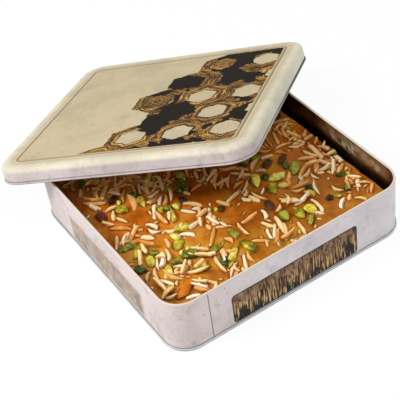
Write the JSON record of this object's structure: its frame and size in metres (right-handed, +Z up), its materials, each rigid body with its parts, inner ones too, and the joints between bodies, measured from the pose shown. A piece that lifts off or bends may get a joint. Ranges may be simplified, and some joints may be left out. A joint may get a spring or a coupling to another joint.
{
  "type": "confectionery tin",
  "caption": "Square rounded-corner tin with a slip lid leaning on its rim, holding a slab of nut brittle strewn with almond slivers and pistachios.",
  "frame": {"origin": "centre of the tin's base, on the plane it stands on", "axes": "+Z up; X and Y square to the tin's walls; the side seam is in the +X wall and the lid leans over the -X wall"},
  "size_m": [0.3504, 0.2979, 0.1017],
  "materials": {
    "printed_wall": "satin print on tinplate, pale stone-like grey",
    "bare_tinplate": "bare tinplate, slightly dull",
    "printed_lid": "satin print on tinplate, cream",
    "brittle": "glossy set honey caramel",
    "cream_almond": "blanched almond with a thin glaze",
    "toasted_almond": "toasted almond with a caramel glaze",
    "almond_chip": "chopped almond",
    "pistachio": "yellow-green pistachio kernel, slightly glazed",
    "green_pistachio": "dark green pistachio kernel",
    "dark_kernel": "purple-brown skin",
    "caramel": "glossy caramel"
  },
  "bodies": {
    "tin": {"side_wall": "printed_wall", "base_plate": "bare_tinplate", "brittle_slab": "brittle", "cream_slivers": "cream_almond", "toasted_slivers": "toasted_almond", "almond_chips": "almond_chip", "pistachio_kernels": "pistachio", "green_pistachios": "green_pistachio", "dark_kernels": "dark_kernel", "caramel_lumps": "caramel"},
    "lid": {"lid": "printed_lid"}
  },
  "joints": [
    {"name": "lid_lift", "type": "slide", "parent": "tin", "child": "lid", "axis": [0, 0, 1], "range_m": [0, 0.12]}
  ]
}
